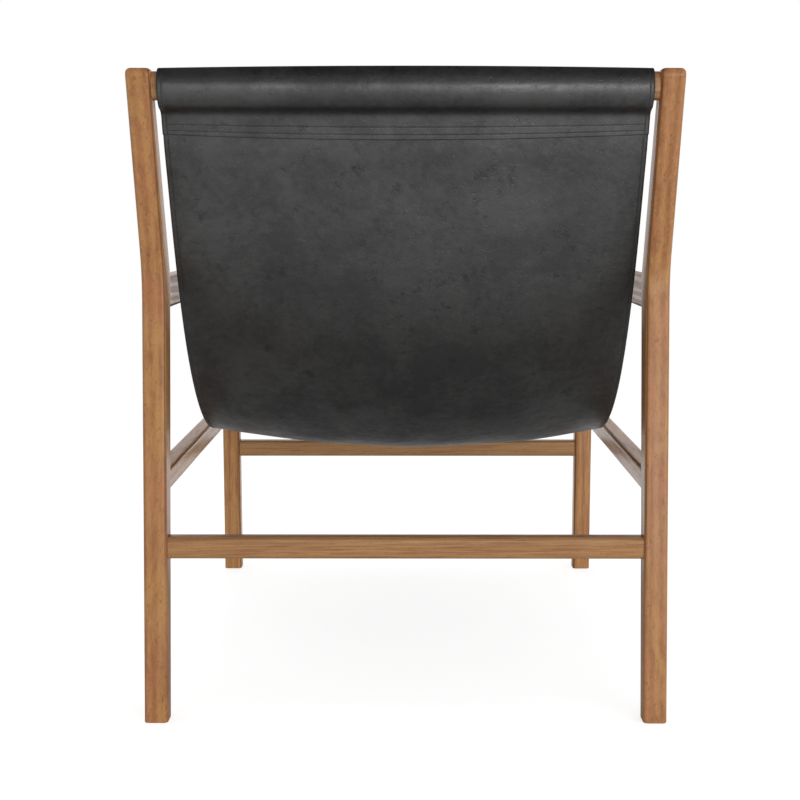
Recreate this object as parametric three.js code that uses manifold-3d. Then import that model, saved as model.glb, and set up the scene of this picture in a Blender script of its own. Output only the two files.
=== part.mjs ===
// A lounge chair with a leather sling. Two glued hardwood side frames stand either side of four cross
// rails, which are bolted between them. The sling is one strip of leather, and a stitched sleeve at
// each of its ends slips over a rail: the top rail behind the sitter, and the seat rail in front.
// Units are millimetres and +Z is up. The sitter faces -Y, and the sitter's left hand is at +X.
import * as THREE from "three";
import { mergeVertices } from "three/addons/utils/BufferGeometryUtils.js";
import Module from "manifold-3d";

const wasm = await Module();
wasm.setup();

// Whole chair
const chairWidth = 650; // across the outer faces of the legs
const wheelbase = 766; // from the back of the rear foot to the back of the front leg
const glueLine = 0.2; // gap left between two pieces of wood that meet
const overrun = 5; // how far a cut runs past the wood
const mergeDistance = 0.002; // corners nearer each other than this are one corner

// Rear leg, sawn to a bend from one plank. Forward is measured from the back of its foot
const legWidth = 29.5;
const rearLegHeight = 796;
const bendHeight = 553;
const heelDepth = 28;
const bendForward = 51.7; // back edge at the bend, forward of the heel
const bendDepth = 43;
const topOverhang = 23.5; // back edge at the top, behind the heel
const topDepth = 27.1;
const backBendRadius = 150;
const frontBendRadius = 14;
const topBackRadius = 8;
const topFrontRadius = 7;
const footRadius = 1.5;
const edgeRadius = 5.5; // eased long edges of every wooden piece but the two oval rails

// Front leg, armrest and side rail
const frontLegDepth = 28.5;
const armUnderside = 509;
const armHeight = 40.5;
const armWidth = 25;
const armEndRadius = 2.6;
const sideRailUnderside = 278.4;
const sideRailHeight = 29;

// Cross pieces between the side frames
const stretcherUnderside = 202.8;
const stretcherHeight = 27.4;
const stretcherDepth = 25;
const topRailDrop = 19.8; // from the top of the rear leg to the middle of the rail
const seatRailHeight = 404; // to the middle of the rail
const sleevedRailDepth = 24;
const sleevedRailTallness = 33.4;
const sleevedRailRadius = 11;

// Sling
const slingGap = 6.9; // from the leather's side edge to the leg beside it
const leatherThickness = 3.5;
const sleeveSlack = 0.4; // between a rail and the sleeve round it
const layerGap = 0.4; // between the sheet and the flap stitched to it
const pinchReach = 33; // from the middle of a rail to where its flap meets the sheet
const flapLength = 28; // from there to the flap's end, at the side edges
const flapDroop = 6; // how much longer the flap is in the middle
const backPull = 322; // length of the curve's handle at the top rail
const seatPull = 518; // the same at the seat rail
const sag = 30; // how far the middle hangs below the side edges
const crown = 2.6; // how far the top sleeve lifts off its rail in the middle
const topPinchAngle = THREE.MathUtils.degToRad(27); // from straight down
const backAngle = THREE.MathUtils.degToRad(20.4); // from straight down
const seatAngle = THREE.MathUtils.degToRad(26); // from level

// Dowels in the glued joints of the side frames
const dowelRadius = 4;
const dowelLength = 36;
const dowelChamfer = 1;
const drillClearance = 0.3; // round every dowel, bolt and nut
const armDowelSpacing = 20;
const railDowelSpacing = 13;
const legTopDowelSpacing = 14;

// Bolt, barrel nut and locating dowel at each end of a cross piece
const boltRadius = 3;
const boltLength = 55;
const boltHeadRadius = 7;
const boltHeadThickness = 3;
const boltHeadEasing = 0.6;
const boltHeadRecess = 0.8; // below the face of the leg
const socketRadius = 2.4;
const socketDepth = 1.8;
const boltDrop = 5; // below the middle of the cross piece
const nutRadius = 5;
const nutLength = 13;
const nutEasing = 0.5;
const nutInset = 22; // from the end of the cross piece
const nutSlotWidth = 1.4;
const nutSlotDepth = 1.6;
const locatingDowelRadius = 3;
const locatingDowelLength = 30;
const locatingDowelRise = 7; // above the middle of the cross piece

// Facets
const cornerFacets = 4;
const bendFacets = 6;
const endFacets = 2;
const roundSides = 12;
const headSides = 20;
const hexSides = 6;
const wrapSteps = 13;
const sheetSteps = 15;
const flapSteps = 2;
const stationShares = [-1, -0.78, -0.52, -0.26, 0, 0.26, 0.52, 0.78, 1]; // of half the sling's width

const finish = (color, roughness, metalness) =>
  new THREE.MeshStandardMaterial({ color, roughness, metalness });
const oiledWood = () => finish(0xae7b52, 0.5, 0);
const blackLeather = () => finish(0x343434, 0.45, 0);
const plainBeech = () => finish(0xd2b48c, 0.7, 0);
const darkSteel = () => finish(0x2a2724, 0.35, 0.9);
const zincSteel = () => finish(0xb9bcc0, 0.4, 0.9);

const axisX = new THREE.Vector3(1, 0, 0);
const axisY = new THREE.Vector3(0, 1, 0);
const axisZ = new THREE.Vector3(0, 0, 1);
const forwardAxis = axisY.clone().negate();
// An outline drawn in the side view, forward and up, is extruded across the chair
const acrossBasis = new THREE.Matrix4().makeBasis(forwardAxis, axisZ, axisX.clone().negate());
// An outline drawn in the rear view, across and up, is extruded forward
const forwardBasis = new THREE.Matrix4().makeBasis(axisX, axisZ, forwardAxis);

const between = (start, end, share) => start + (end - start) * share;
const place = (across, forward, up) => new THREE.Vector3(across, -forward, up);

// Solids for cutting and drilling
function toSolid(geometry) {
  const bare = geometry.clone();
  bare.deleteAttribute("normal");
  bare.deleteAttribute("uv");
  const merged = mergeVertices(bare, mergeDistance);
  return new wasm.Manifold(
    new wasm.Mesh({
      numProp: 3,
      vertProperties: merged.attributes.position.array,
      triVerts: new Uint32Array(merged.index.array),
    }),
  );
}

function toGeometry(solid) {
  const mesh = solid.getMesh();
  const geometry = new THREE.BufferGeometry();
  geometry.setAttribute("position", new THREE.BufferAttribute(mesh.vertProperties, mesh.numProp));
  geometry.setIndex(new THREE.BufferAttribute(mesh.triVerts, 1));
  geometry.computeVertexNormals();
  return geometry;
}

// The outline through the given corners, each rounded to its own radius in so many facets
function roundedOutline(corners) {
  const outline = [];
  corners.forEach(({ at, radius, facets }, index) => {
    const before = corners[(index + corners.length - 1) % corners.length].at;
    const after = corners[(index + 1) % corners.length].at;
    const incoming = at.clone().sub(before).normalize();
    const outgoing = after.clone().sub(at).normalize();
    const turn = Math.atan2(incoming.cross(outgoing), incoming.dot(outgoing));
    const reach = radius * Math.tan(Math.abs(turn) / 2);
    const start = at.clone().addScaledVector(incoming, -reach);
    const inward = new THREE.Vector2(-incoming.y, incoming.x).multiplyScalar(Math.sign(turn));
    const centre = start.clone().addScaledVector(inward, radius);
    outline.push(start);
    for (let step = 1; step <= facets; step += 1) {
      outline.push(start.clone().rotateAround(centre, (turn * step) / facets));
    }
  });
  return outline;
}

function rectangleCorners(width, height, radius) {
  const cornerSigns = [
    [-1, -1],
    [1, -1],
    [1, 1],
    [-1, 1],
  ];
  return cornerSigns.map(([widthSign, heightSign]) => ({
    at: new THREE.Vector2((widthSign * width) / 2, (heightSign * height) / 2),
    radius,
    facets: cornerFacets,
  }));
}

// A bar of rounded section along its local Z, centred there, with its ends eased to endRadius
function bar(width, height, length, radius, endRadius) {
  const outline = roundedOutline(rectangleCorners(width, height, radius));
  const geometry = new THREE.ExtrudeGeometry(new THREE.Shape(outline), {
    depth: length - 2 * endRadius,
    bevelEnabled: endRadius > 0,
    bevelThickness: endRadius,
    bevelSize: endRadius,
    bevelOffset: -endRadius,
    bevelSegments: endFacets,
  });
  return geometry.translate(0, 0, -length / 2 + endRadius);
}

// A turned piece along its local X, from pairs of radius and distance
function turned(profile, sides) {
  const points = profile.map(([radius, along]) => new THREE.Vector2(radius, along));
  return new THREE.LatheGeometry(points, sides).rotateZ(-Math.PI / 2);
}

const drill = (radius, length) => {
  const profile = [[0, -length / 2], [radius, -length / 2], [radius, length / 2], [0, length / 2]];
  return turned(profile, roundSides);
};

const chair = new THREE.Group();
const drillings = []; // what the fasteners need cut away, as solids in the chair's own frame

// Hangs a named piece in the chair at a place, turned by the given rotation
function hang(name, geometry, material, position, rotation) {
  const mesh = new THREE.Mesh(geometry, material);
  mesh.name = name;
  mesh.position.copy(position);
  mesh.rotation.set(...(rotation || [0, 0, 0]));
  chair.add(mesh);
  return mesh;
}

// Notes a hole to be cut in whatever wood it passes through
function drillAt(geometry, position, rotation) {
  const turn = new THREE.Matrix4().makeRotationFromEuler(new THREE.Euler(...rotation));
  drillings.push(toSolid(geometry.applyMatrix4(turn.setPosition(position))));
}

const alongX = [0, 0, 0];
const alongXBack = [0, 0, Math.PI];
const alongY = [0, 0, Math.PI / 2];
const alongZ = [0, -Math.PI / 2, 0];

function dowel(radius, length) {
  const flat = length / 2;
  const shoulder = flat - dowelChamfer;
  const tip = radius - dowelChamfer;
  return turned(
    [[0, -flat], [tip, -flat], [radius, -shoulder], [radius, shoulder], [tip, flat], [0, flat]],
    roundSides,
  );
}

function hangDowel(name, radius, length, position, rotation) {
  hang(name, dowel(radius, length), plainBeech(), position, rotation);
  drillAt(drill(radius + drillClearance, length + 2 * drillClearance), position, rotation);
}

// The bolt points along +X from the underside of its head, which is at the origin
function bolt() {
  const rim = boltHeadRadius - boltHeadEasing;
  const tip = boltRadius - boltHeadEasing;
  const body = turned(
    [
      [0, -boltHeadThickness],
      [rim, -boltHeadThickness],
      [boltHeadRadius, -boltHeadThickness + boltHeadEasing],
      [boltHeadRadius, 0],
      [boltRadius, 0],
      [boltRadius, boltLength - boltHeadEasing],
      [tip, boltLength],
      [0, boltLength],
    ],
    headSides,
  );
  const socket = new THREE.CylinderGeometry(socketRadius, socketRadius, 2 * socketDepth, hexSides);
  socket.rotateZ(Math.PI / 2).translate(-boltHeadThickness, 0, 0);
  return toGeometry(toSolid(body).subtract(toSolid(socket)));
}

// The barrel nut lies along its local X, and the bolt crosses it along its local Z
function barrelNut() {
  const end = nutLength / 2;
  const rim = nutRadius - nutEasing;
  const shoulder = end - nutEasing;
  const body = turned(
    [[0, -end], [rim, -end], [nutRadius, -shoulder], [nutRadius, shoulder], [rim, end], [0, end]],
    roundSides,
  );
  const thread = drill(boltRadius + drillClearance, 2 * nutRadius + overrun).rotateY(Math.PI / 2);
  const slot = new THREE.BoxGeometry(2 * nutSlotDepth, nutSlotWidth, 2 * nutRadius + overrun);
  slot.translate(-end, 0, 0);
  return toGeometry(toSolid(body).subtract(toSolid(thread)).subtract(toSolid(slot)));
}

const legOuterFace = chairWidth / 2;
const legInnerFace = legOuterFace - legWidth;
const legMiddle = legOuterFace - legWidth / 2;
const armMiddle = legOuterFace - armWidth / 2;
const crossLength = 2 * (legInnerFace - glueLine);

// Forward distances of the rear leg's back and front edges at a height
function rearLegAt(height) {
  const heelFront = heelDepth;
  const bendFront = bendForward + bendDepth;
  if (height < bendHeight) {
    const share = height / bendHeight;
    return { back: between(0, bendForward, share), front: between(heelFront, bendFront, share) };
  }
  const share = (height - bendHeight) / (rearLegHeight - bendHeight);
  return {
    back: between(bendForward, -topOverhang, share),
    front: between(bendFront, topDepth - topOverhang, share),
  };
}

const middleOf = ({ back, front }) => (back + front) / 2;
const topRailHeight = rearLegHeight - topRailDrop;
const frontLegMiddle = wheelbase + frontLegDepth / 2;
const stretcherHeightMiddle = stretcherUnderside + stretcherHeight / 2;

// The four cross pieces, by the forward distance and height of their middles
const crossPieces = [
  { name: "top_rail", forward: middleOf(rearLegAt(topRailHeight)), up: topRailHeight },
  { name: "front_seat_rail", forward: frontLegMiddle, up: seatRailHeight },
  {
    name: "rear_stretcher",
    forward: middleOf(rearLegAt(stretcherHeightMiddle)),
    up: stretcherHeightMiddle,
    plain: true,
  },
  { name: "front_stretcher", forward: frontLegMiddle, up: stretcherHeightMiddle, plain: true },
];
const sides = [
  { side: "left", sign: 1 },
  { side: "right", sign: -1 },
];

// Bolts, barrel nuts and locating dowels
for (const { name, forward, up } of crossPieces) {
  for (const { side, sign } of sides) {
    const boltUp = up - boltDrop;
    const headBack = legOuterFace - boltHeadRecess - boltHeadThickness;
    const inward = sign > 0 ? alongXBack : alongX;
    const head = place(sign * headBack, forward, boltUp);
    hang(`${name}_bolt_${side}`, bolt(), darkSteel(), head, inward);
    const shank = boltLength + drillClearance;
    const shankHole = drill(boltRadius + drillClearance, shank).translate(shank / 2, 0, 0);
    drillAt(shankHole, head, inward);
    const seat = 2 * (boltHeadThickness + boltHeadRecess);
    const seatDepth = seat + 2 * drillClearance;
    const seatMiddle = place(sign * legOuterFace, forward, boltUp);
    drillAt(drill(boltHeadRadius + drillClearance, seatDepth), seatMiddle, inward);
    const nutAcross = legInnerFace - glueLine - nutInset;
    const nut = place(sign * nutAcross, forward, boltUp);
    hang(`${name}_barrel_nut_${side}`, barrelNut(), zincSteel(), nut, alongZ);
    const nutHoleTop = nutLength / 2 + drillClearance;
    const nutHoleLength = nutHoleTop + sleevedRailTallness;
    const nutHole = drill(nutRadius + drillClearance, nutHoleLength);
    drillAt(nutHole.translate(nutHoleTop - nutHoleLength / 2, 0, 0), nut, alongZ);
    const peg = place(sign * (legInnerFace - glueLine / 2), forward, up + locatingDowelRise);
    hangDowel(`${name}_dowel_${side}`, locatingDowelRadius, locatingDowelLength, peg, alongX);
  }
}

// Dowel pairs in the glued joints of each side frame
const armMiddleHeight = armUnderside + armHeight / 2;
const sideRailMiddleHeight = sideRailUnderside + sideRailHeight / 2;
const pair = [
  { row: "lower", step: -1 },
  { row: "upper", step: 1 },
];
for (const { side, sign } of sides) {
  for (const { row, step } of pair) {
    const armUp = armMiddleHeight + (step * armDowelSpacing) / 2;
    const railUp = sideRailMiddleHeight + (step * railDowelSpacing) / 2;
    const across = sign * armMiddle;
    const flush = [
      [`arm_rear_dowel_${row}_${side}`, rearLegAt(armUp).front + glueLine / 2, armUp],
      [`side_rail_rear_dowel_${row}_${side}`, rearLegAt(railUp).front + glueLine / 2, railUp],
      [`side_rail_front_dowel_${row}_${side}`, wheelbase - glueLine / 2, railUp],
    ];
    for (const [name, forward, up] of flush) {
      hangDowel(name, dowelRadius, dowelLength, place(across, forward, up), alongY);
    }
    const legTop = place(
      across,
      frontLegMiddle + (step * legTopDowelSpacing) / 2,
      armUnderside - glueLine / 2,
    );
    const end = step > 0 ? "front" : "back";
    hangDowel(`arm_front_dowel_${end}_${side}`, dowelRadius, dowelLength, legTop, alongZ);
  }
}

// Cuts every noted hole in a piece of wood, given in its own frame, and hangs it at its place
function hangWood(name, geometry, position) {
  let solid = toSolid(geometry.translate(position.x, position.y, position.z));
  for (const hole of drillings) {
    solid = solid.subtract(hole);
  }
  const cut = toGeometry(solid).translate(-position.x, -position.y, -position.z);
  return hang(name, cut, oiledWood(), position);
}

// The rear leg is sawn past the floor, then cut off there with its edges eased
function rearLeg() {
  const corner = (forward, up, radius, facets) => ({
    at: new THREE.Vector2(forward, up),
    radius,
    facets,
  });
  const below = rearLegAt(-overrun);
  const outline = roundedOutline([
    corner(below.back, -overrun, 0, 0),
    corner(below.front, -overrun, 0, 0),
    corner(bendForward + bendDepth, bendHeight, frontBendRadius, cornerFacets),
    corner(topDepth - topOverhang, rearLegHeight, topFrontRadius, cornerFacets),
    corner(-topOverhang, rearLegHeight, topBackRadius, cornerFacets),
    corner(bendForward, bendHeight, backBendRadius, bendFacets),
  ]);
  const sawn = new THREE.ExtrudeGeometry(new THREE.Shape(outline), {
    depth: legWidth - 2 * edgeRadius,
    bevelThickness: edgeRadius,
    bevelSize: edgeRadius,
    bevelOffset: -edgeRadius,
    bevelSegments: cornerFacets,
  });
  sawn.translate(0, 0, edgeRadius - legWidth / 2).applyMatrix4(acrossBasis);
  const footHeight = 2 * footRadius;
  const waste = new THREE.BoxGeometry(legWidth + overrun, 2 * heelDepth, 2 * overrun);
  waste.translate(0, -heelDepth / 2, footRadius - overrun);
  const foot = bar(legWidth, heelDepth, footHeight, edgeRadius, footRadius);
  foot.translate(0, -heelDepth / 2, footHeight / 2);
  return toGeometry(toSolid(sawn).subtract(toSolid(waste).subtract(toSolid(foot))));
}

// A bar that runs forward, its back end cut to lie against the sloping front of the rear leg
function sideBar(height, underside, end, endRadius) {
  const low = rearLegAt(underside).front + glueLine;
  const high = rearLegAt(underside + height).front + glueLine;
  const start = low - overrun;
  const length = end - start;
  const uncut = bar(armWidth, height, length, edgeRadius, endRadius);
  uncut.applyMatrix4(forwardBasis).translate(0, -(start + length / 2), 0);
  const waste = new THREE.BoxGeometry(legWidth, bendDepth, 2 * height);
  waste.translate(0, bendDepth / 2, 0);
  waste.rotateX(Math.atan2(high - low, height));
  waste.translate(0, -(low + high) / 2, 0);
  return toGeometry(toSolid(uncut).subtract(toSolid(waste)));
}

for (const { side, sign } of sides) {
  hangWood(`rear_leg_${side}`, rearLeg(), place(sign * legMiddle, 0, 0));
  const frontLegHeight = armUnderside - glueLine;
  hangWood(
    `front_leg_${side}`,
    bar(legWidth, frontLegDepth, frontLegHeight, edgeRadius, footRadius),
    place(sign * legMiddle, frontLegMiddle, frontLegHeight / 2),
  );
  hangWood(
    `armrest_${side}`,
    sideBar(armHeight, armUnderside, wheelbase + frontLegDepth, armEndRadius),
    place(sign * armMiddle, 0, armMiddleHeight),
  );
  hangWood(
    `side_rail_${side}`,
    sideBar(sideRailHeight, sideRailUnderside, wheelbase - glueLine, 0),
    place(sign * armMiddle, 0, sideRailMiddleHeight),
  );
}

for (const { name, forward, up, plain } of crossPieces) {
  const depth = plain ? stretcherDepth : sleevedRailDepth;
  const height = plain ? stretcherHeight : sleevedRailTallness;
  const radius = plain ? edgeRadius : sleevedRailRadius;
  const geometry = bar(depth, height, crossLength, radius, 0).applyMatrix4(acrossBasis);
  hangWood(name, geometry, place(0, forward, up));
}

// Sling. Its side view is one leather strip whose path runs from the end of the back flap, up and
// over the top rail, down the sheet, over and round the seat rail, to the end of the front flap.
// The sheet hangs on a cubic curve between the two places where flap and sheet meet
const sideViewOf = (wanted) => {
  const { forward, up } = crossPieces.find(({ name }) => name === wanted);
  return new THREE.Vector2(forward, up);
};
const topRail = sideViewOf("top_rail");
const seatRail = sideViewOf("front_seat_rail");
const downward = (angle) => new THREE.Vector2(Math.sin(angle), -Math.cos(angle));
const rising = new THREE.Vector2(Math.cos(seatAngle), Math.sin(seatAngle));
const topPinch = topRail.clone().addScaledVector(downward(topPinchAngle), pinchReach);
const seatPinch = seatRail.clone().addScaledVector(rising, -pinchReach);
const hangingCurve = new THREE.CubicBezierCurve(
  topPinch,
  topPinch.clone().addScaledVector(downward(backAngle), backPull),
  seatPinch.clone().addScaledVector(rising, -seatPull),
  seatPinch,
);
const curveLength = hangingCurve.getLength();
const strideOut = leatherThickness / 2 + layerGap / 2;
const wrapRadius = sleevedRailRadius + sleeveSlack + leatherThickness / 2;

// A point of the strip that follows the hanging curve, on the sitter's side or the flap's side.
// Its give says how much of the sag it takes
function onCurve(share, sideSign) {
  const at = hangingCurve.getPointAt(share);
  const tangent = hangingCurve.getTangentAt(share);
  const towardSitter = new THREE.Vector2(-tangent.y, tangent.x);
  const give = Math.sin(Math.PI * share) ** 2;
  return { at: at.addScaledVector(towardSitter, sideSign * strideOut), towardSitter, give, lift: 0 };
}

// The angle round a rail's corner where a straight run from a point touches the wrapped leather
function touchAngle(rail, cornerSigns, from, turn) {
  const corner = rail.clone();
  corner.x += cornerSigns[0] * (sleevedRailDepth / 2 - sleevedRailRadius);
  corner.y += cornerSigns[1] * (sleevedRailTallness / 2 - sleevedRailRadius);
  const away = from.clone().sub(corner);
  return Math.atan2(away.y, away.x) + turn * Math.acos(wrapRadius / away.length());
}

// The leather round a rail, from one angle to another, as an even walk round its rounded corners
function wrap(rail, startAngle, endAngle, liftShare) {
  const points = [];
  for (let step = 0; step <= wrapSteps; step += 1) {
    const angle = between(startAngle, endAngle, step / wrapSteps);
    const flatX = Math.sign(Math.cos(angle)) * (sleevedRailDepth / 2 - sleevedRailRadius);
    const flatY = Math.sign(Math.sin(angle)) * (sleevedRailTallness / 2 - sleevedRailRadius);
    const offset = new THREE.Vector2(
      flatX + wrapRadius * Math.cos(angle),
      flatY + wrapRadius * Math.sin(angle),
    );
    const lift = liftShare * Math.max(0, Math.sin(angle));
    points.push({ at: offset.add(rail), towardSitter: new THREE.Vector2(), give: 0, lift });
  }
  return points;
}

const fullTurn = 2 * Math.PI;
const flapSide = -1;
const sitterSide = 1;

function slingPath(station) {
  const middleness = 1 - station ** 2;
  const flapShare = (flapLength + flapDroop * middleness) / curveLength;
  const path = [];
  for (let step = 0; step <= flapSteps; step += 1) {
    path.push(onCurve(flapShare * (1 - step / flapSteps), flapSide));
  }
  const topStart = touchAngle(topRail, [-1, -1], onCurve(0, flapSide).at, -1) + fullTurn;
  const topEnd = touchAngle(topRail, [1, -1], onCurve(0, sitterSide).at, 1);
  path.push(...wrap(topRail, topStart, topEnd, 1));
  for (let step = 0; step <= sheetSteps; step += 1) {
    path.push(onCurve(step / sheetSteps, sitterSide));
  }
  const seatStart = touchAngle(seatRail, [-1, 1], onCurve(1, sitterSide).at, -1) + fullTurn;
  const seatEnd = touchAngle(seatRail, [-1, -1], onCurve(1, flapSide).at, 1);
  path.push(...wrap(seatRail, seatStart, seatEnd, 0));
  for (let step = 0; step <= flapSteps; step += 1) {
    path.push(onCurve(1 - (flapShare * step) / flapSteps, flapSide));
  }
  return path.map(({ at, towardSitter, give, lift }) => {
    const moved = at.clone().addScaledVector(towardSitter, -sag * give * middleness);
    moved.y += crown * lift * middleness;
    return moved;
  });
}

// The strip's outline in the side view: its path moved half a thickness each way
function slingOutline(station) {
  const path = slingPath(station);
  const outer = [];
  const inner = [];
  path.forEach((point, index) => {
    const before = path[Math.max(index - 1, 0)];
    const after = path[Math.min(index + 1, path.length - 1)];
    const arriving = point.clone().sub(before).normalize();
    const leaving = after.clone().sub(point).normalize();
    const tangent = arriving.add(leaving).normalize();
    const normal = new THREE.Vector2(-tangent.y, tangent.x);
    outer.push(point.clone().addScaledVector(normal, leatherThickness / 2));
    inner.push(point.clone().addScaledVector(normal, -leatherThickness / 2));
  });
  return [...outer, ...inner.reverse()];
}

// One closed skin through the outlines at every station, with an end face at each side edge
function slingGeometry() {
  const halfWidth = legInnerFace - slingGap;
  const rings = stationShares.map((station) => slingOutline(station));
  const count = rings[0].length;
  const positions = rings.flatMap((ring, row) =>
    ring.flatMap((point) => place(stationShares[row] * halfWidth, point.x, point.y).toArray()),
  );
  const faces = [];
  for (let row = 0; row + 1 < rings.length; row += 1) {
    for (let column = 0; column < count; column += 1) {
      const next = (column + 1) % count;
      const a = row * count + column;
      const b = row * count + next;
      faces.push(a, b + count, a + count, a, b, b + count);
    }
  }
  const firstCap = THREE.ShapeUtils.triangulateShape(rings[0], []);
  const lastCap = THREE.ShapeUtils.triangulateShape(rings[rings.length - 1], []);
  const lastStart = (rings.length - 1) * count;
  firstCap.forEach(([a, b, c]) => faces.push(a, b, c));
  lastCap.forEach(([a, b, c]) => faces.push(lastStart + a, lastStart + c, lastStart + b));
  const geometry = new THREE.BufferGeometry();
  geometry.setAttribute("position", new THREE.Float32BufferAttribute(positions, 3));
  geometry.setIndex(faces);
  geometry.computeVertexNormals();
  return geometry;
}

hang("leather_sling", slingGeometry(), blackLeather(), place(0, 0, 0));

// The origin is on the floor, in the middle of the chair's length and width
const extent = new THREE.Box3().setFromObject(chair, true);
chair.position.set(0, -(extent.min.y + extent.max.y) / 2, -extent.min.z);

const part = new THREE.Group();
part.add(chair);

export default part;
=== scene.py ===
import math

import bpy
import numpy as np
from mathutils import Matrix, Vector


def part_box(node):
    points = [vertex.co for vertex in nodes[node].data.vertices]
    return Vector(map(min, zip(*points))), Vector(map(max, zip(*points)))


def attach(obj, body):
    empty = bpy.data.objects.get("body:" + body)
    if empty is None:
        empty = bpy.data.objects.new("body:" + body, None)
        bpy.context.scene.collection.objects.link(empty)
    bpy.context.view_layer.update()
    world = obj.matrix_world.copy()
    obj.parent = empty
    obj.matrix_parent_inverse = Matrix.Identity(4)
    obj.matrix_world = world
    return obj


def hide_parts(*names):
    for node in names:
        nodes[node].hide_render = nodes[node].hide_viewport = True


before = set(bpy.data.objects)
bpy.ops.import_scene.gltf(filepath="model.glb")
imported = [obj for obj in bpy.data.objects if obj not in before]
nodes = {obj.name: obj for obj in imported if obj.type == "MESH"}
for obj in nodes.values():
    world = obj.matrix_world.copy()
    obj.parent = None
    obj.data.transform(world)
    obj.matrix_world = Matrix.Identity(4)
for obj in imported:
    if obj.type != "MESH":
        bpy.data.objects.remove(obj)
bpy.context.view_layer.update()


# Side frames
# Each side of the chair is a bent rear leg, a front leg, a flat armrest and a side rail of oiled
# hardwood, dowelled and glued into one frame. Every piece is cut from a plank with its own grain.
wood_dark = (0.285, 0.120, 0.048, 1.0)
wood_mid = (0.355, 0.165, 0.068, 1.0)
wood_gold = (0.430, 0.214, 0.086, 1.0)
wood_red = (0.415, 0.165, 0.074, 1.0)
wood_yellow = (0.475, 0.250, 0.084, 1.0)
pore_brown = (0.130, 0.052, 0.024, 1.0)
# Painted shade: the brown of the arrises on the side towards the sling.
arris_shade_brown = (0.130, 0.052, 0.018, 1.0)

# Shares of growth rings, streaks, fine lines and clouds in a plank's tone.
cloudy_grain = (0.16, 0.34, 0.24, 0.40)
streaky_grain = (0.12, 0.52, 0.46, 0.12)
ringed_grain = (0.26, 0.38, 0.26, 0.10)

# For each way that a grain can run: the way across its growth rings, their scale and their waviness.
ring_ways = {"X": ("Y", 24.0, 3.2), "Y": ("Z", 28.0, 9.0), "Z": ("X", 24.0, 3.2)}
grain_stretch_shares = {"X": 0.022, "Y": 0.035, "Z": 0.035}
plank_shift = (0.37, 0.61, 0.23)  # times the plank's number, so that each has another part of the pattern
plank_tilt = (0.018, 0.014)  # the most that a plank's grain tilts, in radians

# Painted shade on the arrises that face the sling: how dark it gets, over what height it fades in, and where
# it starts.
arris_shade_strength = 0.8
arris_shade_fade_height = 0.12  # over which the painted shade on the arrises fades in
full_height = -0.2  # below the floor, so that the painted shade on the arrises runs all the way down
rear_leg_shade_start = 0.14  # height from which painted shade begins on a rear leg's arrises
merge_distance = 0.00001  # corners nearer than this are one

# Piece, paleness of the left and the right one, contrast of the tones, and the look of the wood. A look
# says which way the grain runs, how strong its red and yellow patches are, how much sheen its darkest
# grain keeps, and above which height its arrises get painted shade.
side_pieces = [
    (
        "rear_leg",
        # The left rear leg is paler and the right one darker for how the light falls on them: painted light
        # and shade.
        (1.02, 0.96),
        1.0,
        {
            "along": "Z",
            "grain_shares": cloudy_grain,
            "redness": 0.50,
            "dullest": 0.8,
            "shaded_above": rear_leg_shade_start,
        },
    ),
    (
        "front_leg",
        (1.2, 1.2),
        1.5,
        {
            "along": "Z",
            "grain_shares": streaky_grain,
            "redness": 0.30,
            "dullest": 0.8,
            "shaded_above": full_height,
        },
    ),
    (
        "armrest",
        (1.05, 1.05),
        1.7,
        {
            "along": "Y",
            "grain_shares": ringed_grain,
            "redness": 0.30,
            "dullest": 0.4,
            "shaded_above": full_height,
        },
    ),
    (
        "side_rail",
        (1.05, 1.05),
        2.0,
        {
            "along": "Y",
            "grain_shares": streaky_grain,
            "redness": 0.30,
            "dullest": 0.4,
            "shaded_above": full_height,
        },
    ),
]
# The way each side's inner faces look, towards the sling: their arrises get painted shade.
inner_sides = {"left": (-1.0, 0.0, 0.0), "right": (1.0, 0.0, 0.0)}


def fill_inputs(tree, node, inputs):
    """Sets or links a node's inputs. Each is called by its name, or by an i and its number."""
    for key, value in inputs.items():
        numbered = key[0] == "i" and key[1:].isdigit()
        socket = node.inputs[int(key[1:]) if numbered else key]
        if isinstance(value, bpy.types.NodeSocket):
            tree.links.new(value, socket)
        else:
            socket.default_value = value


def node_adder(tree):
    """A function that adds a node to the tree, changes its settings and fills its inputs."""

    def add(kind, settings=None, **inputs):
        node = tree.nodes.new(kind)
        for setting, value in (settings or {}).items():
            setattr(node, setting, value)
        fill_inputs(tree, node, inputs)
        return node

    return add


def new_material(name):
    """A new node material, with its node tree, its shader and a function that adds nodes."""
    material = bpy.data.materials.new(name)
    material.use_nodes = True
    tree = material.node_tree
    return material, tree, tree.nodes["Principled BSDF"], node_adder(tree)


def grey(value):
    """An opaque grey, with the same value in red, green and blue."""
    return (value, value, value, 1.0)


def ramp(add, source, stops):
    """A colour ramp over the source, from pairs of place and colour."""
    node = add("ShaderNodeValToRGB", Fac=source)
    elements = node.color_ramp.elements
    while len(elements) < len(stops):
        elements.new(0.5)
    for element, (place, color) in zip(elements, stops):
        element.position = place
        element.color = color
    return node.outputs["Color"]


def noise(add, place, **settings):
    """Soft random values between 0 and 1 at the places."""
    return add("ShaderNodeTexNoise", Vector=place, **settings).outputs["Fac"]


def ranged(add, source, low, high, at_low=0.0, at_high=1.0, smooth=False):
    """A value that goes from one end to the other while the source goes from low to high."""
    settings = {"interpolation_type": "SMOOTHSTEP"} if smooth else {}
    node = add("ShaderNodeMapRange", settings, i0=source, i1=low, i2=high, i3=at_low, i4=at_high)
    return node.outputs[0]


def arithmetic(add, operation, *values):
    """One sum, product or comparison of values."""
    inputs = {f"i{number}": value for number, value in enumerate(values)}
    return add("ShaderNodeMath", {"operation": operation}, **inputs).outputs[0]


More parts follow.
